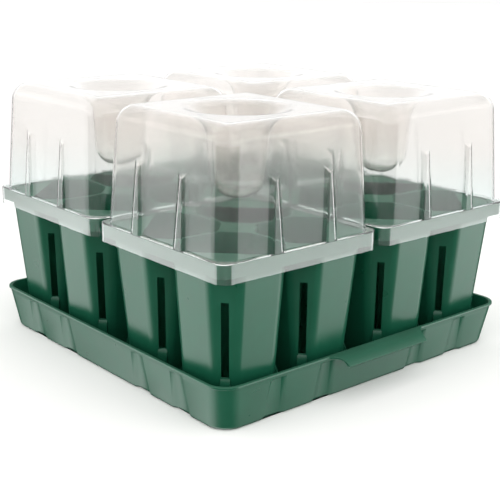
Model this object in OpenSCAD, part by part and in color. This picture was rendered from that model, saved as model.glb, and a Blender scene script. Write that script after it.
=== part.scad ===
// Humidity dome tray: a watering tray that holds four 2 by 2 cell blocks, each under its own dome.
// Millimetres. +Z is up. The origin is at the middle of the tray's underside, and a tab faces -Y.

/* [Tray] */
// Width of the tray over its rim
tray_rim_w = 263.5; // [262:0.5:280]
// Width of the tray at its base
tray_base_w = 252.5; // [250:0.5:260]
// Height of the tray
tray_h = 31; // [26:1:40]
// Thickness of the tray's wall
tray_wall = 1.6; // [1.2:0.1:2]
// Thickness of the tray's floor
tray_floor = 1.8; // [1.2:0.1:2]
// Outside radius of the tray's upright corners
tray_corner_r = 14; // [12:1:15]
// Width of each groove in the tray's wall
groove_w = 14.5; // [10:0.5:18]
// Depth of each groove in the tray's wall
groove_depth = 1.8; // [1:0.1:2]
// Distance from the middle of a side to its inner grooves
groove_inner_x = 44; // [35:1:50]
// Distance from the middle of a side to its outer grooves
groove_outer_x = 86; // [75:1:95]

/* [Finger tabs] */
// Length of a tab where it leaves the rim
tab_root_l = 88; // [70:1:100]
// Length of a tab along its outer edge
tab_edge_l = 74; // [50:1:80]
// Distance that a tab stands out from the rim
tab_reach = 12.5; // [9:0.5:16]
// Distance that a tab curls down at its outer edge
tab_drop = 5; // [3:0.5:8]
// Thickness of a tab
tab_t = 2; // [1.5:0.1:2.5]

/* [Cell blocks] */
// Distance between the middles of neighbouring blocks
block_pitch = 133; // [131:0.5:134]
// Distance between the middles of neighbouring cells
cell_pitch = 63; // [62.5:0.1:63]
// Height of a block's top face above the table
block_top_z = 105.4; // [100:0.2:120]
// Width of a cell at its mouth, outside
cell_top_w = 62.8; // [60:0.1:62.8]
// Width of a cell at its foot, outside
cell_foot_w = 41.8; // [36:0.2:44]
// Chamfer across a cell's corners at its mouth
cell_top_chamfer = 15; // [12:0.5:16]
// Chamfer across a cell's corners at its foot
cell_foot_chamfer = 7.8; // [6:0.2:10]
// Thickness of a cell's wall
cell_wall = 1; // [0.8:0.1:1.2]
// Width of the slot in each chamfer
slot_w = 4.8; // [3:0.2:6]
// Height of a slot's lower end above the table
slot_low_z = 31; // [25:1:40]
// Height of a slot's upper end above the table
slot_high_z = 80; // [60:1:90]
// Diameter of the drain hole in each cell
drain_d = 10; // [6:1:14]
// Width of a block over its turned-down rim
block_rim_w = 126; // [125.8:0.1:126]
// Height of a block's turned-down rim
block_rim_h = 8; // [5:0.5:9]

/* [Domes] */
// Width of a dome over its skirt
skirt_w = 129; // [128.8:0.1:130]
// Height of the skirt
skirt_h = 12.4; // [10:0.2:14]
// Radius of the skirt's upright corners
skirt_corner_r = 5.2; // [4:0.1:8]
// Width of the dome's wall where it leaves the ledge
dome_foot_w = 123.6; // [121:0.2:124]
// Width of the dome's wall under its rounded shoulder
dome_shoulder_w = 116.2; // [112:0.2:120]
// Height of the dome's top above the table
dome_top_z = 183.3; // [175:0.1:190]
// Radius of the dome's shoulder and upright corners
dome_r = 12; // [9:1:15]
// Thickness of the dome's wall
dome_wall = 1; // [0.8:0.1:1.1]
// Distance from the middle of a side to each of its two ribs
rib_x = 22; // [18:1:28]
// Width of a rib at the ledge
rib_foot_w = 9; // [7:0.5:11]
// Width of a rib at its tip
rib_tip_w = 3; // [2.6:0.1:4]
// Height of a rib's tip above the table
rib_tip_z = 153; // [140:1:160]

/* [Crown well] */
// Radius of the well's mouth in the crown
well_mouth_r = 34; // [30:0.5:36]
// Radius at the bottom of the well's rolled lip
well_lip_r = 22.6; // [20:0.2:24]
// Depth of the well's rolled lip
well_lip_depth = 12; // [8:0.5:14]
// Radius of the cup below the lip
cup_r = 18.5; // [15:0.5:20]
// Depth of the cup's round bottom below the crown
cup_depth = 57; // [40:1:60]

/* [Hidden] */

green = [0.12, 0.33, 0.26];
milky_clear = [0.88, 0.9, 0.89, 0.45];

eps = 0.01;         // thickness of the slices that hulls join, and the overrun of cuts
rest_gap = 0.2;     // air left between pieces that rest on each other
corner_fn = 16;     // facets round small corners
round_fn = 24;      // facets round the dome's shoulder and well

rim_band_h = 2.5;   // plain band above the grooves
rim_lip = 0.8;      // how far the rim stands out beyond the wall
base_edge = 2.5;    // bevel round the tray's base
tab_arc_r = (pow(tab_reach, 2) + pow(tab_drop, 2)) / (2 * tab_drop);
tab_arc_angle = asin(tab_reach / tab_arc_r);

cell_foot_z = tray_floor + rest_gap;
cell_floor = 1.2;
cell_edge_r = 1.6;  // softening of a cell's upright edges
plate_t = 1.5;
slot_reach = 38;    // half the length of the cutters that open two opposite slots
foot_lean = 6;      // degrees that a foot leans out from upright

skirt_low_z = ledge_z() - skirt_h;
shoulder_z = dome_top_z - dome_r;
rib_root = 3;       // how deep a rib is rooted in the dome's wall
rib_tip_reach = 3;  // how far a rib's tip stands out from the wall
lip_z = dome_top_z - well_lip_depth;
cup_low_r = cup_r - 1.5;
cup_round_z = dome_top_z - cup_depth + 15;

// Height of the ledge on which a dome's wall stands; its underside clears the block's top face.
function ledge_z() = block_top_z + rest_gap + dome_wall + 0.15;

// Half-width of the dome's tapered wall at a height.
function dome_half(z) =
    let (share = (z - ledge_z()) / (shoulder_z - ledge_z()))
    (dome_foot_w + (dome_shoulder_w - dome_foot_w) * share) / 2;

// Distance from a cell's middle to its outer chamfer face, along the diagonal, at a height.
function chamfer_reach(z) =
    let (share = (z - cell_foot_z) / (block_top_z - cell_foot_z),
         w = cell_foot_w + (cell_top_w - cell_foot_w) * share,
         leg = cell_foot_chamfer + (cell_top_chamfer - cell_foot_chamfer) * share)
    (w - leg) / sqrt(2);

// ---- shared outlines ----

module rounded_square(w, r) {
    offset(r = r, $fn = corner_fn) square(w - 2 * r, center = true);
}

module on_four_sides() {
    for (a = [0, 90, 180, 270]) rotate(a) children();
}

// ---- tray ----

module groove_notch() {
    slope = groove_depth;
    polygon([[-groove_w / 2 - slope, 0.1], [groove_w / 2 + slope, 0.1],
             [groove_w / 2 - slope, -groove_depth], [-groove_w / 2 + slope, -groove_depth]]);
}

module tray_outline(w) {
    difference() {
        rounded_square(w, tray_corner_r);
        on_four_sides()
            for (x = [-groove_outer_x, -groove_inner_x, groove_inner_x, groove_outer_x])
                translate([x, w / 2]) groove_notch();
    }
}

module tray_wall_solid(inset, z) {
    wall_h = tray_h - rim_band_h;
    wall_top_w = tray_rim_w - 2 * rim_lip;
    translate([0, 0, z])
        linear_extrude(height = wall_h - z, scale = wall_top_w / tray_base_w)
            offset(delta = -inset) tray_outline(tray_base_w);
}

module finger_tab() {
    profile = concat(
        [for (i = [0:8]) let (a = tab_arc_angle * i / 8)
            [tab_arc_r * sin(a), tab_arc_r * (cos(a) - 1)]],
        [for (i = [8:-1:0]) let (a = tab_arc_angle * i / 8)
            [(tab_arc_r - tab_t) * sin(a), (tab_arc_r - tab_t) * cos(a) - tab_arc_r]]);
    root_y = tray_rim_w / 2 - rim_lip;
    intersection() {
        translate([-tab_root_l / 2, -root_y, tray_h])
            rotate([90, 0, 90]) linear_extrude(tab_root_l) mirror([1, 0]) polygon(profile);
        translate([0, -root_y, 0])
            linear_extrude(tray_h + 1)
                polygon([[-tab_root_l / 2, 0], [tab_root_l / 2, 0],
                         [tab_edge_l / 2, -tab_reach - 1], [-tab_edge_l / 2, -tab_reach - 1]]);
    }
}

module tray() {
    color(green) {
        difference() {
            union() {
                linear_extrude(height = base_edge, scale = tray_base_w / (tray_base_w - 2 * base_edge))
                    tray_outline(tray_base_w - 2 * base_edge);
                tray_wall_solid(0, base_edge);
                translate([0, 0, tray_h - rim_band_h])
                    linear_extrude(rim_band_h) rounded_square(tray_rim_w, tray_corner_r);
            }
            tray_wall_solid(tray_wall, tray_floor);
            translate([0, 0, tray_h - rim_band_h - eps])
                linear_extrude(rim_band_h + 1)
                    rounded_square(tray_rim_w - 2 * (rim_lip + tray_wall), tray_corner_r - tray_wall);
        }
        finger_tab();
        rotate(180) finger_tab();
    }
}

// ---- cell blocks ----

module cell_outline(w, leg) {
    h = w / 2;
    offset(r = cell_edge_r, $fn = corner_fn) offset(delta = -cell_edge_r)
        polygon([[h, h - leg], [h - leg, h], [leg - h, h], [-h, h - leg],
                 [-h, leg - h], [leg - h, -h], [h - leg, -h], [h, leg - h]]);
}

module cell_solid(inset, low_z, high_z) {
    hull() {
        translate([0, 0, low_z]) linear_extrude(eps)
            cell_outline(cell_foot_w - 2 * inset, cell_foot_chamfer - 0.6 * inset);
        translate([0, 0, high_z - eps]) linear_extrude(eps)
            cell_outline(cell_top_w - 2 * inset, cell_top_chamfer - 0.6 * inset);
    }
}

// A foot stands under each slot: flush with the chamfer at the slot, and clear of it at the floor.
module slot_foot() {
    top_z = slot_low_z - 1;
    top_reach = chamfer_reach(top_z);
    low_reach = top_reach + (top_z - cell_foot_z) * tan(foot_lean);
    root = chamfer_reach(cell_foot_z) - cell_wall / 2;
    rotate([90, 0, 0])
        linear_extrude(slot_w, center = true)
            polygon([[root, cell_foot_z], [low_reach, cell_foot_z],
                     [top_reach, top_z], [top_reach - cell_wall, top_z]]);
}

module block_plate() {
    translate([0, 0, block_top_z - plate_t])
        linear_extrude(plate_t) rounded_square(block_rim_w, skirt_corner_r - 1);
    translate([0, 0, block_top_z - block_rim_h])
        linear_extrude(block_rim_h)
            difference() {
                rounded_square(block_rim_w, skirt_corner_r - 1);
                rounded_square(block_rim_w - 2 * cell_wall, skirt_corner_r - 1 - cell_wall);
            }
}

module at_cells() {
    for (x = [-cell_pitch / 2, cell_pitch / 2])
        for (y = [-cell_pitch / 2, cell_pitch / 2])
            translate([x, y, 0]) children();
}

module cell_block() {
    color(green) {
        difference() {
            union() {
                block_plate();
                at_cells() cell_solid(0, cell_foot_z, block_top_z - plate_t / 2);
            }
            at_cells() {
                cell_solid(cell_wall, cell_foot_z + cell_floor, block_top_z + eps);
                for (a = [45, 135])
                    rotate(a)
                        translate([-slot_reach, -slot_w / 2, slot_low_z])
                            cube([2 * slot_reach, slot_w, slot_high_z - slot_low_z]);
                translate([0, 0, cell_foot_z - 1])
                    cylinder(h = cell_floor + 2, d = drain_d, $fn = corner_fn);
            }
        }
        at_cells() for (a = [45, 135, 225, 315]) rotate(a) slot_foot();
    }
}

// ---- domes ----

module dome_body(inset, low_z) {
    r = dome_r - inset;
    foot_half = dome_half(low_z) - inset;
    hull() {
        translate([0, 0, low_z]) linear_extrude(eps) rounded_square(2 * foot_half, r);
        for (x = [-1, 1])
            for (y = [-1, 1])
                translate([x, y, 0] * (dome_shoulder_w / 2 - dome_r) + [0, 0, shoulder_z])
                    sphere(r, $fn = round_fn);
    }
}

module rib_slice(w, reach, z) {
    translate([0, reach - w / 2, z]) linear_extrude(eps) {
        circle(d = w, $fn = 8);
        translate([-w / 2, -rib_root]) square([w, rib_root]);
    }
}

// A rib's face starts flush with the skirt and leans in with the wall towards a pointed tip.
module rib(inset) {
    tip_reach = dome_half(rib_tip_z) + rib_tip_reach;
    hull() {
        rib_slice(rib_foot_w - 2 * inset, skirt_w / 2 - inset, ledge_z() - dome_wall - eps);
        rib_slice(rib_tip_w - 2 * inset, tip_reach - inset, rib_tip_z - 4 - inset);
        translate([0, dome_half(rib_tip_z) - dome_wall / 2, rib_tip_z - 1 - inset]) cube(1 - inset / 2, center = true);
    }
}

module crown_well(grow) {
    floor_z = dome_top_z - cup_depth - grow;
    lip = [for (a = [0:15:90])
        [well_mouth_r - (well_mouth_r - well_lip_r) * sin(a) + grow,
         lip_z + well_lip_depth * (1 - sin(a)) * (1 - sin(a)) - grow]];
    rotate_extrude($fn = round_fn)
        polygon(concat([[0, dome_top_z + 1], [well_mouth_r + grow, dome_top_z + 1]],
                       lip,
                       [[cup_r + grow, lip_z - 1.5 - grow], [cup_low_r + grow, cup_round_z]],
                       [for (a = [25:25:75]) [(cup_low_r + grow) * cos(a),
                                              cup_round_z - (cup_round_z - floor_z) * sin(a)]],
                       [[0, floor_z]]));
}

module skirt() {
    difference() {
        translate([0, 0, skirt_low_z])
            linear_extrude(skirt_h) rounded_square(skirt_w, skirt_corner_r);
        translate([0, 0, skirt_low_z - 1])
            linear_extrude(skirt_h - dome_wall + 1)
                rounded_square(skirt_w - 2 * dome_wall - 0.4, skirt_corner_r - dome_wall);
    }
}

module dome() {
    color(milky_clear)
        difference() {
            union() {
                skirt();
                dome_body(0, ledge_z() - dome_wall);
                on_four_sides() for (x = [-rib_x, rib_x]) translate([x, 0, 0]) rib(0);
            }
            difference() {
                union() {
                    dome_body(dome_wall, ledge_z() - dome_wall - 1);
                    on_four_sides() for (x = [-rib_x, rib_x]) translate([x, 0, 0]) rib(dome_wall);
                }
                crown_well(dome_wall);
            }
            crown_well(0);
        }
}

// ---- places ----

module at_place(x, y) {
    translate([x, y, 0] * block_pitch / 2) children();
}

tray();
at_place(-1, -1) cell_block();  // cell_block_front_left
at_place(1, -1) cell_block();  // cell_block_front_right
at_place(-1, 1) cell_block();  // cell_block_back_left
at_place(1, 1) cell_block();  // cell_block_back_right
at_place(-1, -1) dome();  // dome_front_left
at_place(1, -1) dome();  // dome_front_right
at_place(-1, 1) dome();  // dome_back_left
at_place(1, 1) dome();  // dome_back_right
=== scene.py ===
# %% [markdown]
# # A humidity dome tray
# A gardener raises seedlings in this set. A shallow green tray holds water, four green blocks of tapered
# cells stand in it, and each block wears a clear dome that keeps the air moist. Every piece is one thin
# plastic moulding, so every piece here is one thin shell. The CAD model fixes where each piece is and how
# big it is, and this script gives each one its moulded shape and its plastic.

# %% Load the frame and keep its box
import math

import bmesh
import bpy
from mathutils import Matrix, Vector


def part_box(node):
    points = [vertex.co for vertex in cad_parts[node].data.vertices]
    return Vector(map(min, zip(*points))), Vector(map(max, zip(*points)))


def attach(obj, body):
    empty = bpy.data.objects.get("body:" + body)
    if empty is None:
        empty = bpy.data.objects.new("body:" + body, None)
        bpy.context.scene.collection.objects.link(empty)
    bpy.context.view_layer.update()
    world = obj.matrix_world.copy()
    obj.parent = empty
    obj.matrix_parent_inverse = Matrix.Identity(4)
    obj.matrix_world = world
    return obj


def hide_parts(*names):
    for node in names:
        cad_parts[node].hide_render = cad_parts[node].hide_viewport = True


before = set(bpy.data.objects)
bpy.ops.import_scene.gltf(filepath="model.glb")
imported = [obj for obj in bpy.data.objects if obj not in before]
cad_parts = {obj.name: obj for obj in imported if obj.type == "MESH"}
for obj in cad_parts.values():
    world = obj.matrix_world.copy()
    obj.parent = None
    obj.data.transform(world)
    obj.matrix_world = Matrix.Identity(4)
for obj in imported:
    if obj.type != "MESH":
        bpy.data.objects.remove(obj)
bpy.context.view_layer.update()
MM = 0.001
NEAR = 0.1 * MM

# %% [markdown]
# ## Sizes
# The tray, a block and a dome all measure themselves from the frame, so a change to the CAD model carries
# over. Only details that a box can't tell, such as a wall's thickness, are numbers here, in millimetres.
# Two places that are less than NEAR apart, a tenth of a millimetre, count as the same place.

# %% Sizes that the frame gives
tray_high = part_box("tray")[1]
block_low, block_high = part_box("cell_block_back_right")
dome_low, dome_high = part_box("dome_back_right")

PLACES = {"front_left": (-1, -1), "front_right": (1, -1), "back_left": (-1, 1), "back_right": (1, 1)}
PLACE_OFFSET = (block_low.x + block_high.x) / 2
RIM_HALF = tray_high.x
TAB_REACH = tray_high.y - RIM_HALF
TRAY_TOP = tray_high.z
BLOCK_HALF = (block_high.x - block_low.x) / 2
BLOCK_TOP = block_high.z
SKIRT_HALF = (dome_high.x - dome_low.x) / 2
SKIRT_LOW = dome_low.z
DOME_TOP = dome_high.z
print("tray rim", round(RIM_HALF * 2 / MM, 1), "block", round(BLOCK_HALF * 2 / MM, 1), "mm")


# %% [markdown]
# ## Small helpers
# Modelling by hand means: pick some faces or edges, then apply an operator to them. `pick` does the
# picking by a test on place or direction, and the rest wrap the steps that every piece repeats. A part
# points mostly one way if that share of its direction is above MOSTLY, and a face isn't level if its
# normal's upward share is below NOT_LEVEL.

# %% Helpers for picking and shaping
MOSTLY = 0.9
NOT_LEVEL = 0.95
HALFWAY = 0.5
MERGE_WITHIN = 0.05 * MM
SHARP_ANGLE = math.radians(35)
SMOOTH_ANGLE = math.radians(32)


def start_piece(name):
    """Names the primitive just added, applies its place, and opens it in edit mode."""
    piece = bpy.context.object
    piece.name = name
    bpy.ops.object.transform_apply(location=True, rotation=True, scale=True)
    bpy.ops.object.mode_set(mode="EDIT")
    return piece


def clear_selection():
    bpy.ops.object.select_all(action="DESELECT")


def middle(part):
    """The middle of a vertex, an edge or a face."""
    if isinstance(part, bmesh.types.BMVert):
        return part.co
    if isinstance(part, bmesh.types.BMEdge):
        return (part.verts[0].co + part.verts[1].co) / 2
    return part.calc_center_median()


def rise(edge):
    """How much of an edge's length is upright, from 0 to 1."""
    along = edge.verts[1].co - edge.verts[0].co
    return abs(along.z) / max(along.length, 1e-9)


def pick(kind, test):
    """In edit mode, selects only the VERT, EDGE or FACE parts that pass the test, and counts them."""
    bpy.ops.mesh.select_mode(type=kind)
    bpy.ops.mesh.select_all(action="DESELECT")
    mesh = bpy.context.object.data
    shape = bmesh.from_edit_mesh(mesh)
    parts = {"VERT": shape.verts, "EDGE": shape.edges, "FACE": shape.faces}[kind]
    picked = [part for part in parts if test(part)]
    for part in picked:
        part.select_set(True)
    shape.select_flush_mode()
    bmesh.update_edit_mesh(mesh)
    return len(picked)


def move(x=0, y=0, z=0):
    bpy.ops.transform.translate(value=(x, y, z))


def grow(x=1, y=1, z=1):
    bpy.ops.transform.resize(value=(x, y, z))


def extrude(x=0, y=0, z=0):
    bpy.ops.mesh.extrude_region_move(TRANSFORM_OT_translate={"value": (x, y, z)})


def round_off(width, steps, kind="EDGES"):
    bpy.ops.mesh.bevel(offset=width, segments=steps, affect=kind, clamp_overlap=True)


def cut(point, normal):
    bpy.ops.mesh.bisect(plane_co=point, plane_no=normal, threshold=1e-7)


def apply_modifier(piece, kind, **settings):
    """Adds a modifier with these settings and applies it at once."""
    modifier = piece.modifiers.new(kind.title(), kind)
    for key, value in settings.items():
        setattr(modifier, key, value)
    bpy.context.view_layer.objects.active = piece
    bpy.ops.object.modifier_apply(modifier=modifier.name)


def finish_shell(piece, wall, soft_edge, steps=2, even=True):
    """Gives an open shell its wall, rounds its sharp edges and shades it smooth."""
    bpy.ops.mesh.select_all(action="SELECT")
    bpy.ops.mesh.remove_doubles(threshold=MERGE_WITHIN)
    bpy.ops.object.mode_set(mode="OBJECT")
    clear_selection()
    piece.select_set(True)
    apply_modifier(piece, "SOLIDIFY", thickness=wall, offset=-1, use_even_offset=even)
    apply_modifier(piece, "BEVEL", width=soft_edge, segments=steps, limit_method="ANGLE",
                   angle_limit=SHARP_ANGLE, use_clamp_overlap=True)
    bpy.ops.object.shade_smooth_by_angle(angle=SMOOTH_ANGLE)
    apply_modifier(piece, "WEIGHTED_NORMAL", keep_sharp=True, weight=80)
    print(piece.name, len(piece.data.polygons), "faces")


def copy_to(master, name, x, y):
    """A copy of a piece with its own mesh, moved to its place and applied."""
    clear_selection()
    master.select_set(True)
    bpy.context.view_layer.objects.active = master
    bpy.ops.object.duplicate(linked=False)
    piece = bpy.context.object
    piece.name = name
    piece.location = (x, y, 0)
    bpy.ops.object.transform_apply(location=True, rotation=False, scale=False)
    return piece


# %% [markdown]
# ## Materials
# Two plastics make the whole set. Each material is named for the real one, and a pattern's size is given
# in millimetres. A hex value is an sRGB colour, which one function turns to linear light.

# %% Helpers for materials
def linear(hex_colour):
    """An sRGB hex value as linear red, green, blue and alpha."""
    channels = [int(hex_colour[i:i + 2], 16) / 255 for i in (1, 3, 5)]
    return [c / 12.92 if c <= 0.04045 else ((c + 0.055) / 1.055) ** 2.4 for c in channels] + [1.0]


def add_node(tree, kind, settings=None, links=None, **properties):
    """Adds one node with its properties, its input values and what feeds its inputs."""
    node = tree.nodes.new(kind)
    for key, value in properties.items():
        setattr(node, key, value)
    for key, value in (settings or {}).items():
        node.inputs[key].default_value = value
    for key, source in (links or {}).items():
        tree.links.new(source, node.inputs[key])
    return node


def new_material(name):
    """An empty node material, its tree and its output."""
    material = bpy.data.materials.new(name)
    material.use_nodes = True
    tree = material.node_tree
    tree.nodes.clear()
    return material, tree, add_node(tree, "ShaderNodeOutputMaterial")


def per_mm(size_mm):
    """The scale that gives a pattern on coordinates in metres a feature of this size."""
    return 1 / (size_mm * MM)


# %% [markdown]
# ### Green injection-moulded polypropylene
# Polypropylene with a dark green masterbatch leaves a satin mould. It is a dielectric of IOR 1.49, so its
# sides turn pale where they mirror a bright board at a slant and stay deep green where they mirror the
# dark. The melt runs down the tall walls, which leaves faint upright streaks, and the mould's polish is a
# little uneven, so the roughness drifts over some millimetres. Faces that look up have a dull grain, drawn
# as roughness alone, because its real bumps are far too fine to show. The skin that roughens the
# polish is a few hundredths of a millimetre fine in truth and is drawn at half a millimetre to show at all.

# %% Green polypropylene
STREAK_MM = 5
STREAK_SQUASH = 0.08
STREAK_DEPTH = 0.12 * MM
POLISH_MM = 14
GRAIN_MM = 0.5
GRAIN_DEPTH = 0.04 * MM
GREEN_DEEP = "#124E38"
GREEN_LIGHT = "#175942"
SATIN = (0.24, 0.36)
GRAINED = 0.85
GRAIN_STARTS = 0.55
GRAIN_FULL = 0.9


def green_polypropylene():
    material, tree, out = new_material("Moulded_Green_Polypropylene")
    place = add_node(tree, "ShaderNodeTexCoord").outputs["Object"]
    stretched = add_node(tree, "ShaderNodeMapping", {"Scale": (1, 1, STREAK_SQUASH)}, {"Vector": place})
    streak = add_node(tree, "ShaderNodeTexNoise", {"Scale": per_mm(STREAK_MM), "Detail": 2.0},
                      {"Vector": stretched.outputs["Vector"]})
    polish = add_node(tree, "ShaderNodeTexNoise", {"Scale": per_mm(POLISH_MM), "Detail": 3.0},
                      {"Vector": place})
    grain = add_node(tree, "ShaderNodeTexNoise", {"Scale": per_mm(GRAIN_MM), "Detail": 1.0},
                     {"Vector": place})
    tone = add_node(tree, "ShaderNodeMix", {"A": linear(GREEN_DEEP), "B": linear(GREEN_LIGHT)},
                    {"Factor": polish.outputs["Fac"]}, data_type="RGBA")
    gloss = add_node(tree, "ShaderNodeMapRange", {"To Min": SATIN[0], "To Max": SATIN[1]},
                     {"Value": polish.outputs["Fac"]})
    flow = add_node(tree, "ShaderNodeBump", {"Strength": 0.25, "Distance": STREAK_DEPTH},
                    {"Height": streak.outputs["Fac"]})
    skin = add_node(tree, "ShaderNodeBump", {"Strength": 0.12, "Distance": GRAIN_DEPTH},
                    {"Height": grain.outputs["Fac"], "Normal": flow.outputs["Normal"]})
    facing = add_node(tree, "ShaderNodeNewGeometry").outputs["True Normal"]
    upward = add_node(tree, "ShaderNodeSeparateXYZ", {}, {"Vector": facing}).outputs["Z"]
    grained = add_node(tree, "ShaderNodeMapRange", {"From Min": GRAIN_STARTS, "From Max": GRAIN_FULL},
                       {"Value": upward})
    rough = add_node(tree, "ShaderNodeMix", {"B": GRAINED},
                     {"Factor": grained.outputs["Result"], "A": gloss.outputs["Result"]}, data_type="FLOAT")
    plastic = add_node(tree, "ShaderNodeBsdfPrincipled", {"IOR": 1.49},
                       {"Base Color": tone.outputs["Result"], "Roughness": rough.outputs["Result"],
                        "Normal": skin.outputs["Normal"]})
    tree.links.new(plastic.outputs["BSDF"], out.inputs["Surface"])
    return material


# %% [markdown]
# ### Clear polypropylene with a slight haze
# The domes are thin clear polypropylene, drawn up from a flat sheet. Its tiny crystals scatter a little
# light, a real haze. Here that haze grows from none at the skirt to a few parts in a hundred at the crown,
# where the tint also turns from cool to warm: this growth is painted light, a whiter and warmer crown that
# stands in for the brighter light there. The sheet isn't quite flat, so its gloss and its ripple drift over
# some millimetres. The wall is modelled with both its faces, so light bends in and out again as in the real
# sheet. Polypropylene's IOR is about 1.5, and 1.6 matches the strong gloss of the drawn sheet.

# %% Clear polypropylene
WAVE_MM = 16
WAVE_DEPTH = 0.1 * MM
# Between these heights haze and a warm tint grow towards the crown, painted light that whitens the crown
CROWN_LIGHT_LOW = 108 * MM
CROWN_LIGHT_HIGH = 150 * MM
GLOSSY = (0.04, 0.09)
CLEAREST = 1.0
HAZIEST = 0.97
CLEAR_COOL = "#F3F8F7"
# The crown's warm tint is painted light
CLEAR_PAINTED_WARM = "#F9F7F5"


def clear_polypropylene():
    material, tree, out = new_material("Moulded_Clear_Polypropylene")
    place = add_node(tree, "ShaderNodeTexCoord").outputs["Object"]
    wave = add_node(tree, "ShaderNodeTexNoise", {"Scale": per_mm(WAVE_MM), "Detail": 1.0},
                    {"Vector": place})
    gloss = add_node(tree, "ShaderNodeMapRange", {"To Min": GLOSSY[0], "To Max": GLOSSY[1]},
                     {"Value": wave.outputs["Fac"]})
    ripple = add_node(tree, "ShaderNodeBump", {"Strength": 0.1, "Distance": WAVE_DEPTH},
                      {"Height": wave.outputs["Fac"]})
    height = add_node(tree, "ShaderNodeSeparateXYZ", {}, {"Vector": place}).outputs["Z"]
    # Painted crown light: a fade with height that adds haze and warmth towards the crown
    painted_crown_light = add_node(tree, "ShaderNodeMapRange", {"From Min": CROWN_LIGHT_LOW, "From Max": CROWN_LIGHT_HIGH},
                     {"Value": height}, interpolation_type="SMOOTHSTEP").outputs["Result"]
    tint_with_painted_warmth = add_node(tree, "ShaderNodeMix", {"A": linear(CLEAR_COOL), "B": linear(CLEAR_PAINTED_WARM)},
                    {"Factor": painted_crown_light}, data_type="RGBA")
    clarity = add_node(tree, "ShaderNodeMapRange", {"To Min": CLEAREST, "To Max": HAZIEST},
                       {"Value": painted_crown_light})
    plastic = add_node(tree, "ShaderNodeBsdfPrincipled", {"IOR": 1.6},
                       {"Base Color": tint_with_painted_warmth.outputs["Result"],
                        "Transmission Weight": clarity.outputs["Result"],
                        "Roughness": gloss.outputs["Result"], "Normal": ripple.outputs["Normal"]})
    tree.links.new(plastic.outputs["BSDF"], out.inputs["Surface"])
    return material


green = green_polypropylene()
clear = clear_polypropylene()
print("materials", green.name, "and", clear.name)


def dress(piece, material, body, node):
    """Gives a finished piece its material and its body, and hides the CAD node that it stands for."""
    piece.data.materials.clear()
    piece.data.materials.append(material)
    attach(piece, body)
    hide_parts(node)


# %% [markdown]
# ## The camera
# The set is seen from its front left corner, from a little above, through a lens of about 76 mm. The
# camera comes before the pieces.

# %% Camera
VIEW_TURN = math.radians(-40.83)
VIEW_RISE = math.radians(16.08)
VIEW_DISTANCE = 778.5 * MM
VIEW_ROLL = math.radians(0.78)
AIM_RIGHT = 1.8 * MM
AIM_HEIGHT = 63.3 * MM
LENS_MM = 75.9
FILM_MM = 36
VIEW_RIGHT = (math.cos(VIEW_TURN), math.sin(VIEW_TURN), 0)
VIEW_BACK = (math.sin(VIEW_TURN), -math.cos(VIEW_TURN), 0)


def add_camera():
    right = Vector(VIEW_RIGHT)
    back = Vector(VIEW_BACK) * math.cos(VIEW_RISE) + Vector((0, 0, math.sin(VIEW_RISE)))
    aim = right * AIM_RIGHT + Vector((0, 0, AIM_HEIGHT))
    turn = Matrix((right, back.cross(right), back)).transposed()
    bpy.ops.object.camera_add(location=aim + back * VIEW_DISTANCE)
    camera = bpy.context.object
    camera.rotation_euler = (turn @ Matrix.Rotation(VIEW_ROLL, 3, "Z")).to_euler()
    camera.data.sensor_width = FILM_MM
    camera.data.lens = LENS_MM
    camera.data.clip_start = 0.01
    bpy.context.scene.camera = camera
    print("camera at", [round(v, 3) for v in camera.location])


add_camera()

# %% [markdown]
# ## The tray
# The real tray is one moulding with a sloping wall, so it starts as an open box whose upper edge is wider.
# Its upright corners and its base are rounded first. Then shallow flutes, wider at the foot, are cut into
# the wall by slanted planes and pressed in. The upper edge turns out into a thin rim, and on two sides a
# stretch of that rim is spun over into a finger tab. Solidify then gives the wall its thickness.

# %% Tray details
TRAY_BASE_HALF = 126.25 * MM
TRAY_WALL = 1.6 * MM
TRAY_LIP = 0.8 * MM
TRAY_SOFT_EDGE = 0.55 * MM
TRAY_CORNER = 14 * MM
TRAY_FOOT_ROUND = 2.5 * MM
FLUTE_PLACES = [-86 * MM, -44 * MM, 44 * MM, 86 * MM]
FLUTE_DEPTH = 1.8 * MM
FLUTE_STOP = 1.6 * MM
FLUTE_FADE = 1.2 * MM
FLUTE_FLOOR_TOP = 6.5 * MM
FLUTE_FLOOR_FOOT = 12.5 * MM
FLUTE_SIDE = 3 * MM
NOT_BASE = 0.97
TAB_ROOT_HALF = 44 * MM
TAB_EDGE_HALF = 37 * MM
TAB_DROP = 5 * MM
TAB_STEPS = 10
TAB_CORNER = 3 * MM


# %% Flutes in the tray's wall
def flute_floor_half(z):
    """Half the width of a flute's floor at a height: the flute widens towards the foot."""
    share = z / TRAY_TOP
    return (FLUTE_FLOOR_FOOT + (FLUTE_FLOOR_TOP - FLUTE_FLOOR_FOOT) * share) / 2


def press_flutes(flute_top):
    """Cuts and presses the flutes of the front wall."""
    wall_y = -(TRAY_BASE_HALF - TRAY_FOOT_ROUND - NEAR)
    slant = (FLUTE_FLOOR_FOOT - FLUTE_FLOOR_TOP) / 2 / TRAY_TOP
    for x in FLUTE_PLACES:
        for side in (-1, 1):
            for extra in (0, FLUTE_SIDE):
                pick("FACE", lambda f: middle(f).y < wall_y and abs(f.normal.z) < NOT_BASE)
                foot_x = x + side * (FLUTE_FLOOR_FOOT / 2 + extra)
                cut((foot_x, 0, 0), (1, 0, side * slant))
        pick("VERT", lambda v: (v.co.y < wall_y + 5 * NEAR and v.co.z < flute_top
                                and abs(v.co.x - x) < flute_floor_half(v.co.z) + NEAR))
        move(y=FLUTE_DEPTH)


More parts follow.
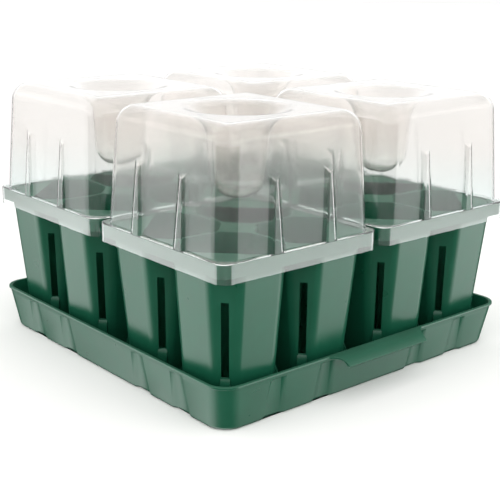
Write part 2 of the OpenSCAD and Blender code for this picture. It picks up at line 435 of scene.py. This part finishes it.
# %% The tray's shell
def make_tray():
    shell_top = TRAY_TOP - TRAY_WALL
    wall_half = RIM_HALF - TRAY_LIP
    flute_top = shell_top - FLUTE_STOP
    clear_selection()
    bpy.ops.mesh.primitive_cube_add(size=1, location=(0, 0, shell_top / 2),
                                    scale=(2 * TRAY_BASE_HALF, 2 * TRAY_BASE_HALF, shell_top))
    tray = start_piece("Tray")
    pick("FACE", lambda f: f.normal.z > MOSTLY)
    bpy.ops.mesh.delete(type="ONLY_FACE")
    pick("VERT", lambda v: v.co.z > shell_top / 2)
    grow(wall_half / TRAY_BASE_HALF, wall_half / TRAY_BASE_HALF)
    pick("EDGE", lambda e: rise(e) > MOSTLY)
    round_off(TRAY_CORNER, 10)
    pick("EDGE", lambda e: middle(e).z < NEAR)
    round_off(TRAY_FOOT_ROUND, 4)
    for z in (flute_top, flute_top - FLUTE_FADE):
        pick("FACE", lambda f: abs(f.normal.z) < HALFWAY)
        cut((0, 0, z), (0, 0, 1))
    for turn in range(4):
        press_flutes(flute_top - 5 * NEAR)
        bpy.ops.mesh.select_all(action="SELECT")
        bpy.ops.transform.rotate(value=math.pi / 2, orient_axis="Z", center_override=(0, 0, 0))
    add_rim_and_tabs(shell_top)
    finish_shell(tray, TRAY_WALL, TRAY_SOFT_EDGE, steps=3)
    return tray


def add_rim_and_tabs(shell_top):
    """Turns the upper edge out into a rim, and spins the tabs from it."""
    for side in (-1, 1):
        for end in (TAB_ROOT_HALF, -TAB_ROOT_HALF):
            pick("FACE", lambda f: middle(f).y * side > TRAY_BASE_HALF and abs(f.normal.y) > HALFWAY)
            cut((end, 0, 0), (1, 0, 0))
    pick("EDGE", lambda e: e.is_boundary)
    extrude()
    grow(RIM_HALF / (RIM_HALF - TRAY_LIP), RIM_HALF / (RIM_HALF - TRAY_LIP))
    arc_radius = (TAB_REACH ** 2 + TAB_DROP ** 2) / (2 * TAB_DROP) - TRAY_WALL
    arc_angle = math.asin(TAB_REACH / (arc_radius + TRAY_WALL))
    for side in (-1, 1):
        pick("EDGE", lambda e: e.is_boundary and middle(e).y * side > RIM_HALF - NEAR
             and abs(middle(e).x) < TAB_ROOT_HALF)
        bpy.ops.mesh.spin(steps=TAB_STEPS, angle=arc_angle, axis=(side, 0, 0),
                          center=(0, side * RIM_HALF, shell_top - arc_radius))
        for step in range(1, TAB_STEPS + 1):
            reach = arc_radius * math.sin(arc_angle * step / TAB_STEPS)
            flare = (1 - step / TAB_STEPS) ** 3
            half = TAB_EDGE_HALF + (TAB_ROOT_HALF - TAB_EDGE_HALF) * flare
            pick("VERT", lambda v: abs(v.co.y * side - RIM_HALF - reach) < 3 * NEAR)
            grow(x=half / TAB_ROOT_HALF)
        pick("VERT", lambda v: (v.co.y * side > RIM_HALF + reach - 3 * NEAR
                                and abs(v.co.x) > half - 2 * NEAR))
        round_off(TAB_CORNER, 4, "VERTICES")


tray = make_tray()
dress(tray, green, "tray", "tray")

# %% [markdown]
# ## A cell block
# A block is a plate with four tapered cells drawn down from it. Seen from above it is one continuous
# surface, so the shell here is that upper surface: a grid of four squares, an inset that leaves the thin
# webs between the mouths, and the mouths' corners cut off. The mouths are then extruded down to the cells'
# floors and made smaller there. Solidify adds the plastic on the outside.

# %% Cell block details
CELL_PITCH = 63 * MM
CELL_WALL = 1 * MM
MOUTH_HALF = 30.4 * MM
MOUTH_CHAMFER = 14.4 * MM
FLOOR_HALF = 19.9 * MM
FLOOR_CHAMFER = 7.2 * MM
FLOOR_Z = 3.2 * MM
SLOT_HALF = 2.4 * MM
SLOT_LOW = 31 * MM
SLOT_HIGH = 80 * MM
FOOT_STAND = 2.8 * MM
FOOT_SHOULDER = 24 * MM
BLOCK_RIM = 8 * MM
BLOCK_CORNER = 6.4 * MM
BLOCK_SOFT_EDGE = 0.3 * MM
CELL_EDGE_ROUND = 3.2 * MM
FLOOR_ROUND = 2.5 * MM
DRAIN_INSET = 12 * MM
AT_AXIS = 3 * MM
CELLS = [Vector((x, y, 0)) * CELL_PITCH / 2 for x in (-1, 1) for y in (-1, 1)]
DIAGONALS = [Vector((x, y, 0)) / math.sqrt(2) for x in (-1, 1) for y in (-1, 1)]


def near_cell(part, cell, reach):
    """True if a part's middle is within reach of a cell's axis."""
    away = middle(part) - cell
    return math.hypot(away.x, away.y) < reach


# %% Plate with four chamfered mouths
def make_plate():
    half_web = CELL_PITCH / 2 - MOUTH_HALF
    chamfer_away = (2 * MOUTH_HALF - MOUTH_CHAMFER) / math.sqrt(2)
    mouth_reach = 8 * MM
    corner_reach = 15 * MM
    web_reach = 40 * MM
    clear_selection()
    bpy.ops.mesh.primitive_grid_add(x_subdivisions=2, y_subdivisions=2, size=2 * BLOCK_HALF,
                                    location=(0, 0, BLOCK_TOP))
    block = start_piece("Cell_Block")
    bpy.ops.mesh.select_all(action="SELECT")
    bpy.ops.mesh.inset(thickness=half_web, use_individual=True)
    for cell in CELLS:
        for diagonal in DIAGONALS:
            pick("FACE", lambda f: near_cell(f, cell, mouth_reach))
            cut(cell + diagonal * chamfer_away + Vector((0, 0, BLOCK_TOP)), diagonal)
    for cell in CELLS:
        corner = Vector((math.copysign(BLOCK_HALF, cell.x), math.copysign(BLOCK_HALF, cell.y), 0))
        web_starts = BLOCK_HALF - half_web
        pick("FACE", lambda f: (near_cell(f, corner, corner_reach)
                                or (near_cell(f, corner, web_reach)
                                    and max(abs(middle(f).x), abs(middle(f).y)) > web_starts)))
        bpy.ops.mesh.dissolve_faces()
    pick("VERT", lambda v: min(abs(v.co.x), abs(v.co.y)) > BLOCK_HALF - NEAR)
    round_off(BLOCK_CORNER, 6, "VERTICES")
    pick("EDGE", lambda e: e.is_boundary)
    extrude(z=-BLOCK_RIM)
    return block


# %% Cells drawn down from the mouths
def draw_cells():
    floor_reach = 60 * MM
    long_edge = 50 * MM
    pick("FACE", lambda f: f.normal.z > MOSTLY and any(near_cell(f, cell, AT_AXIS) for cell in CELLS))
    extrude(z=FLOOR_Z - BLOCK_TOP)
    shrink = FLOOR_HALF / MOUTH_HALF
    for cell in CELLS:
        pick("FACE", lambda f: middle(f).z < FLOOR_Z + MM and near_cell(f, cell, AT_AXIS))
        grow(shrink, shrink)
        short = (FLOOR_HALF - FLOOR_CHAMFER) / (FLOOR_HALF - MOUTH_CHAMFER * shrink)
        pick("VERT", lambda v: v.co.z < FLOOR_Z + MM and near_cell(v, cell, floor_reach)
             and abs(v.co.x - cell.x) > FLOOR_HALF - NEAR and abs(v.co.y - cell.y) < FLOOR_HALF)
        grow(y=short)
        pick("VERT", lambda v: v.co.z < FLOOR_Z + MM and near_cell(v, cell, floor_reach)
             and abs(v.co.y - cell.y) > FLOOR_HALF - NEAR and abs(v.co.x - cell.x) < FLOOR_HALF)
        grow(x=short)
    pick("EDGE", lambda e: rise(e) > MOSTLY and (e.verts[0].co - e.verts[1].co).length > long_edge)
    round_off(CELL_EDGE_ROUND, 5)
    pick("EDGE", lambda e: max(v.co.z for v in e.verts) < FLOOR_Z + NEAR)
    round_off(FLOOR_ROUND, 3)
    for cell in CELLS:
        pick("FACE", lambda f: middle(f).z < FLOOR_Z + 2 * NEAR and near_cell(f, cell, AT_AXIS))
        bpy.ops.mesh.inset(thickness=DRAIN_INSET)
        bpy.ops.mesh.delete(type="FACE")


# %% [markdown]
# ### Slots and feet
# Each chamfered corner has a tall slot that lets the roots breathe, and below it a narrow foot that leans
# out to the tray's floor. The planes that bound a slot are cut through the walls, the faces between them
# are deleted, and the strip that is left below is extruded outwards and its upper end pushed back.

# %% Slots and feet
WALL_LOW = 4 * MM
WALL_HIGH = BLOCK_TOP - BLOCK_RIM - 2 * MM
STEEP = 0.6
CHAMFER_NEAREST = 15 * MM
CHAMFER_MIDDLE = 27 * MM
CHAMFER_FARTHEST = 36 * MM
CHAMFER_REACH = 9 * MM
FOOT_LEAN = 0.9


def on_wall(face):
    return abs(face.normal.z) < STEEP and WALL_LOW < middle(face).z < WALL_HIGH


def in_strip(part, cell, diagonal):
    """True if a part lies in the narrow strip down the middle of one chamfer of a cell."""
    away = middle(part) - cell
    across = away.x * diagonal.y - away.y * diagonal.x
    along = away.x * diagonal.x + away.y * diagonal.y
    return abs(across) < SLOT_HALF + NEAR / 2 and CHAMFER_NEAREST < along < CHAMFER_FARTHEST


def cut_slots():
    for z in (SLOT_HIGH, SLOT_LOW, SLOT_LOW - MM, FOOT_SHOULDER):
        pick("FACE", on_wall)
        cut((0, 0, z), (0, 0, 1))
    for cell in CELLS:
        for diagonal in DIAGONALS:
            across = Vector((-diagonal.y, diagonal.x, 0))
            for side in (-1, 1):
                pick("FACE", lambda f: abs(f.normal.z) < NOT_LEVEL and middle(f).z < BLOCK_TOP - BLOCK_RIM
                     and near_cell(f, cell + diagonal * CHAMFER_MIDDLE, CHAMFER_REACH))
                cut(cell + across * side * SLOT_HALF, across)
    pick("FACE", lambda f: SLOT_LOW < middle(f).z < SLOT_HIGH
         and any(in_strip(f, cell, diagonal) for cell in CELLS for diagonal in DIAGONALS))
    bpy.ops.mesh.delete(type="FACE")


def push_out_feet():
    foot_top = SLOT_LOW - MM
    for diagonal in DIAGONALS:
        pick("FACE", lambda f: middle(f).z < foot_top and abs(f.normal.z) < NOT_LEVEL
             and any(in_strip(f, cell, diagonal) for cell in CELLS))
        extrude(diagonal.x * FOOT_STAND, diagonal.y * FOOT_STAND)
        shape = bmesh.from_edit_mesh(bpy.context.object.data)
        top = {v.index for v in shape.verts if v.select and v.co.z > foot_top - 5 * NEAR}
        pick("VERT", lambda v: v.index in top)
        move(-diagonal.x * FOOT_STAND * FOOT_LEAN, -diagonal.y * FOOT_STAND * FOOT_LEAN)


def make_block():
    block = make_plate()
    draw_cells()
    cut_slots()
    push_out_feet()
    finish_shell(block, CELL_WALL, BLOCK_SOFT_EDGE, even=False)
    return block


block_master = make_block()
for name, (x, y) in PLACES.items():
    block = copy_to(block_master, "Cell_Block_" + name.title(), x * PLACE_OFFSET, y * PLACE_OFFSET)
    dress(block, green, "block_" + name, "cell_block_" + name)
bpy.data.objects.remove(block_master)

# %% [markdown]
# ## A dome
# A dome is drawn from one clear sheet. Its outside is easiest to think of as a solid: a tapered box with
# round shoulders, standing on a low square skirt, with two tapering ridges on each side and a round well
# sunk in the crown. So the solids are modelled first and joined by booleans, the open underside is
# deleted, and Solidify turns what is left into a thin wall.

# %% Dome details
DOME_WALL = 0.9 * MM
SKIRT_HIGH = 106.75 * MM
SKIRT_CORNER = 7.8 * MM
DOME_FOOT_HALF = 61.8 * MM
DOME_CROWN_HALF = 57.4 * MM
DOME_ROUND = 12 * MM
DOME_SOFT_EDGE = 0.3 * MM
LEDGE_ROUND = 0.9 * MM
OVERLAP = 3 * MM
RIDGE_PLACES = (-22 * MM, 22 * MM)
RIDGE_TOP = 153 * MM
RIDGE_FOOT_HALF = 3.5 * MM
RIDGE_TIP_HALF = 0.9 * MM
RIDGE_SLOPE = 4.6 * MM
RIDGE_STAND = 2.7 * MM
RIDGE_TIP_LEAN = 3.5 * MM
RIDGE_TIP_ROOT = 0.5
RIDGE_SUNK = 2 * MM
RIDGE_ROUND = 0.8 * MM
WELL_MOUTH = 38 * MM
WELL_FUNNEL = 19 * MM
WELL_CUP_TOP = 18.8 * MM
WELL_CUP_FOOT = 17 * MM
WELL_BOWL = 13 * MM
WELL_DEPTH = 57 * MM
WELL_STEPS = 9
WELL_SIDES = 64


# %% Solids of the dome
def dome_half(z):
    """Half the width of the dome's tapered side at a height."""
    share = (z - SKIRT_HIGH) / (DOME_TOP - SKIRT_HIGH)
    return DOME_FOOT_HALF + (DOME_CROWN_HALF - DOME_FOOT_HALF) * share


def make_dome_body():
    foot = SKIRT_LOW + OVERLAP
    clear_selection()
    bpy.ops.mesh.primitive_cube_add(size=1, location=(0, 0, (foot + DOME_TOP) / 2),
                                    scale=(2 * dome_half(foot), 2 * dome_half(foot), DOME_TOP - foot))
    body = start_piece("Dome")
    pick("VERT", lambda v: v.co.z > SKIRT_HIGH)
    grow(DOME_CROWN_HALF / dome_half(foot), DOME_CROWN_HALF / dome_half(foot))
    pick("EDGE", lambda e: middle(e).z > SKIRT_HIGH or rise(e) > MOSTLY)
    round_off(DOME_ROUND, 12)
    bpy.ops.object.mode_set(mode="OBJECT")
    return body


def make_skirt():
    clear_selection()
    height = SKIRT_HIGH - SKIRT_LOW
    bpy.ops.mesh.primitive_cube_add(size=1, location=(0, 0, SKIRT_LOW + height / 2),
                                    scale=(2 * SKIRT_HALF, 2 * SKIRT_HALF, height))
    skirt = start_piece("Skirt")
    pick("EDGE", lambda e: rise(e) > MOSTLY)
    round_off(SKIRT_CORNER, 8)
    pick("EDGE", lambda e: min(v.co.z for v in e.verts) > SKIRT_HIGH - NEAR)
    round_off(LEDGE_ROUND, 3)
    bpy.ops.object.mode_set(mode="OBJECT")
    return skirt


def make_ridge(x):
    """One ridge of the front wall: its face starts flush with the skirt and leans in to a narrow tip."""
    low = SKIRT_HIGH - OVERLAP
    root_y = -(dome_half(RIDGE_TOP) - RIDGE_SUNK)
    depth = SKIRT_HALF + root_y
    clear_selection()
    bpy.ops.mesh.primitive_cube_add(size=1, location=(x, (root_y - SKIRT_HALF) / 2, (low + RIDGE_TOP) / 2),
                                    scale=(2 * RIDGE_FOOT_HALF, depth, RIDGE_TOP - low))
    ridge = start_piece("Ridge")
    pick("VERT", lambda v: v.co.y > root_y - MM)
    grow(x=1 + RIDGE_SLOPE * depth / (RIDGE_STAND * RIDGE_FOOT_HALF))
    pick("VERT", lambda v: v.co.z > SKIRT_HIGH and v.co.y > root_y - MM)
    grow(x=RIDGE_TIP_ROOT)
    move(z=RIDGE_TIP_LEAN)
    pick("VERT", lambda v: v.co.z > SKIRT_HIGH and v.co.y < root_y - MM)
    grow(x=RIDGE_TIP_HALF / RIDGE_FOOT_HALF)
    move(y=RIDGE_STAND, z=-RIDGE_TIP_LEAN)
    pick("EDGE", lambda e: middle(e).y < root_y - 1.5 * MM and middle(e).z > low + MM)
    round_off(RIDGE_ROUND, 4)
    bpy.ops.object.mode_set(mode="OBJECT")
    return ridge


def well_levels():
    """The well's depth and radius, level by level: a trumpet mouth, a tapered cup and a round bowl."""
    quarter = [math.pi / 2 * step / WELL_STEPS for step in range(WELL_STEPS + 1)]
    mouth = [(WELL_FUNNEL * (1 - math.cos(turn)), WELL_MOUTH - (WELL_MOUTH - WELL_CUP_TOP) * math.sin(turn))
             for turn in quarter]
    bowl = [(WELL_DEPTH - WELL_BOWL * (1 - math.sin(turn)), WELL_CUP_FOOT * math.cos(turn))
            for turn in quarter[:-1]]
    return mouth + bowl + [(WELL_DEPTH, MM)]


def make_well():
    clear_selection()
    levels = well_levels()
    bpy.ops.mesh.primitive_cylinder_add(vertices=WELL_SIDES, radius=WELL_MOUTH, depth=2 * MM,
                                        location=(0, 0, DOME_TOP + MM))
    well = start_piece("Well")
    pick("FACE", lambda f: f.normal.z < -MOSTLY)
    for (high, wide), (low, narrow) in zip(levels, levels[1:]):
        extrude(z=high - low)
        grow(narrow / wide, narrow / wide)
    bpy.ops.object.mode_set(mode="OBJECT")
    return well


# %% Join the solids and hollow them
def combine(piece, other, operation):
    apply_modifier(piece, "BOOLEAN", object=other, operation=operation, solver="EXACT")
    bpy.data.objects.remove(other)


def make_dome():
    dome = make_dome_body()
    combine(dome, make_skirt(), "UNION")
    for x in RIDGE_PLACES:
        for turn in range(4):
            ridge = make_ridge(x)
            ridge.rotation_euler.z = turn * math.pi / 2
            bpy.ops.object.transform_apply(location=True, rotation=True, scale=True)
            combine(dome, ridge, "UNION")
    combine(dome, make_well(), "DIFFERENCE")
    clear_selection()
    dome.select_set(True)
    bpy.context.view_layer.objects.active = dome
    bpy.ops.object.mode_set(mode="EDIT")
    pick("FACE", lambda f: f.normal.z < -MOSTLY and middle(f).z < SKIRT_LOW + NEAR)
    bpy.ops.mesh.delete(type="ONLY_FACE")
    finish_shell(dome, DOME_WALL, DOME_SOFT_EDGE)
    return dome


dome_master = make_dome()
for name, (x, y) in PLACES.items():
    dome = copy_to(dome_master, "Dome_" + name.title(), x * PLACE_OFFSET, y * PLACE_OFFSET)
    dress(dome, clear, "dome_" + name, "dome_" + name)
bpy.data.objects.remove(dome_master)

# %% [markdown]
# ## Floor and light
# The set stands on a white bench in a light tent. Bright boards to the left and right are what the flat
# walls mirror, and the dark room at the tent's open ends is what the corners and chamfers mirror. Both
# are painted in the world by direction, so every piece sees them alike. The bench is kept out of mirror
# images, because it would hide the low half of the boards from walls that lean outwards. Far from the set
# its white is painted slightly grey, a painted shade that dims the bench there, so that the domes stand
# out against it.

# %% Floor
BENCH_SIZE = 12
BENCH_NEAR = 0.28
BENCH_FAR = 0.7
BENCH_WHITE = "#EFEFED"
# Painted shade: the grey that the bench's white turns to far from the set
BENCH_PAINTED_SHADE = "#DCDBDA"


def add_floor():
    clear_selection()
    bpy.ops.mesh.primitive_plane_add(size=BENCH_SIZE)
    floor = bpy.context.object
    floor.name = "Floor"
    floor.visible_glossy = False
    material, tree, out = new_material("White_Bench")
    place = add_node(tree, "ShaderNodeTexCoord").outputs["Object"]
    away = add_node(tree, "ShaderNodeVectorMath", {}, {0: place}, operation="LENGTH").outputs["Value"]
    # Painted shade: how far the bench has faded from white to painted grey, by distance from the set
    painted_shade_share = add_node(tree, "ShaderNodeMapRange", {"From Min": BENCH_NEAR, "From Max": BENCH_FAR},
                   {"Value": away}, interpolation_type="SMOOTHSTEP").outputs["Result"]
    white_with_painted_shade = add_node(tree, "ShaderNodeMix", {"A": linear(BENCH_WHITE), "B": linear(BENCH_PAINTED_SHADE)},
                     {"Factor": painted_shade_share}, data_type="RGBA").outputs["Result"]
    matt = add_node(tree, "ShaderNodeBsdfDiffuse", {"Roughness": 0.5}, {"Color": white_with_painted_shade})
    tree.links.new(matt.outputs["BSDF"], out.inputs["Surface"])
    floor.data.materials.append(material)
    print("bench", BENCH_SIZE, "m wide")


add_floor()

# %% [markdown]
# ### A white wall behind the bench
# From low down one sees past the bench's edge to the tent's dark ends. A round white wall stands in front
# of them. Only straight and transmitted looks see it, so it adds no light and shows in no mirror image.

# %% White wall
WALL_RADIUS = 5
WALL_HEIGHT = 1.3
WALL_SIDES = 96


def add_backdrop():
    clear_selection()
    bpy.ops.mesh.primitive_cylinder_add(vertices=WALL_SIDES, radius=WALL_RADIUS, depth=WALL_HEIGHT,
                                        end_fill_type="NOTHING", location=(0, 0, WALL_HEIGHT / 2))
    wall = bpy.context.object
    wall.name = "Backdrop"
    wall.visible_glossy = False
    wall.visible_diffuse = False
    wall.visible_shadow = False
    material, tree, out = new_material("White_Wall")
    glow = add_node(tree, "ShaderNodeEmission", {"Color": linear("#FFFFFF"), "Strength": 1.0})
    tree.links.new(glow.outputs["Emission"], out.inputs["Surface"])
    wall.data.materials.append(material)
    print("white wall", WALL_HEIGHT, "m high")


add_backdrop()

# %% [markdown]
# ### The tent's light
# The tent glows evenly, with a brighter board on each side. A board is brightest low down, and a brighter
# strip runs all round a little below eye level. The two ends are dark from a little above eye level down,
# and the right side gets darker towards the bench. Each patch is a product of two fades, and a fade is
# given by two shares of a direction: it is nothing at the first and full at the second. The share is how
# much of the direction runs endwise (along the view), to the right, or up.

# %% Tent with bright sides and dark ends
TENT_LIGHT = 1.45
BOARD_HIGH = 2.0
BOARD_LOW = 2.5
STRIP_LIGHT = 2.1
DARK_LIGHT = 0.02
RIGHT_SHADE = 0.7
ENDWISE_FADES = {"at_side": (0.65, 0.4), "at_end": (0.28, 0.5)}
RIGHT_FADES = {"at_right": (0.0, 0.3)}
HEIGHT_FADES = {"under_board": (0.6, 0.3), "low_board": (-0.2, -0.35), "over_strip_foot": (-0.38, -0.3),
                "under_strip": (-0.17, -0.25), "under_dark": (0.12, -0.05), "near_bench": (-0.35, -0.65)}
PATCHES = {"board": ("at_side", "under_board"), "strip": ("over_strip_foot", "under_strip"),
           "dark": ("at_end", "under_dark"), "shade": ("at_right", "near_bench")}


def add_tent():
    world = bpy.data.worlds.new("Light_Tent")
    bpy.context.scene.world = world
    world.use_nodes = True
    tree = world.node_tree
    tree.nodes.clear()
    way = add_node(tree, "ShaderNodeTexCoord").outputs["Generated"]
    height = add_node(tree, "ShaderNodeSeparateXYZ", {}, {"Vector": way}).outputs["Z"]
    back = add_node(tree, "ShaderNodeVectorMath", {1: VIEW_BACK}, {0: way},
                    operation="DOT_PRODUCT").outputs["Value"]
    right = add_node(tree, "ShaderNodeVectorMath", {1: VIEW_RIGHT}, {0: way},
                     operation="DOT_PRODUCT").outputs["Value"]
    endwise = add_node(tree, "ShaderNodeMath", {}, {0: back}, operation="ABSOLUTE").outputs["Value"]
    fade = {}
    for share, fades in ((endwise, ENDWISE_FADES), (right, RIGHT_FADES), (height, HEIGHT_FADES)):
        for name, (nothing, full) in fades.items():
            node = add_node(tree, "ShaderNodeMapRange", {"From Min": nothing, "From Max": full},
                            {"Value": share}, interpolation_type="SMOOTHSTEP")
            fade[name] = node.outputs["Result"]
    patch = {}
    for name, (one, other) in PATCHES.items():
        node = add_node(tree, "ShaderNodeMath", {}, {0: fade[one], 1: fade[other]}, operation="MULTIPLY")
        patch[name] = node.outputs["Value"]
    board = add_node(tree, "ShaderNodeMix", {"A": BOARD_HIGH, "B": BOARD_LOW},
                     {"Factor": fade["low_board"]}, data_type="FLOAT").outputs["Result"]
    boards = add_node(tree, "ShaderNodeMix", {"A": TENT_LIGHT}, {"Factor": patch["board"], "B": board},
                      data_type="FLOAT").outputs["Result"]
    strip = add_node(tree, "ShaderNodeMath", {1: STRIP_LIGHT}, {0: patch["strip"], 2: boards},
                     operation="MULTIPLY_ADD").outputs["Value"]
    shade = add_node(tree, "ShaderNodeMath", {1: -RIGHT_SHADE, 2: 1.0}, {0: patch["shade"]},
                     operation="MULTIPLY_ADD").outputs["Value"]
    shaded = add_node(tree, "ShaderNodeMath", {}, {0: strip, 1: shade},
                      operation="MULTIPLY").outputs["Value"]
    light = add_node(tree, "ShaderNodeMix", {"B": DARK_LIGHT}, {"Factor": patch["dark"], "A": shaded},
                     data_type="FLOAT").outputs["Result"]
    glow = add_node(tree, "ShaderNodeBackground", {"Color": linear("#FFFFFF")}, {"Strength": light})
    out = add_node(tree, "ShaderNodeOutputWorld")
    tree.links.new(glow.outputs["Background"], out.inputs["Surface"])
    print("tent of", len(PATCHES), "patches of light")


add_tent()

# %% [markdown]
# ## Light's way through the domes
# A look through two domes crosses many thin walls, so light may bounce 24 times. The blur that calms
# glossy light stays off, because it darkens what is seen through clear walls.

# %% Render settings
BOUNCES = 24
scene = bpy.context.scene
scene.view_settings.view_transform = "Standard"
scene.cycles.max_bounces = BOUNCES
scene.cycles.transmission_bounces = BOUNCES
scene.cycles.transparent_max_bounces = BOUNCES
scene.cycles.blur_glossy = 0.0
print("up to", BOUNCES, "bounces")
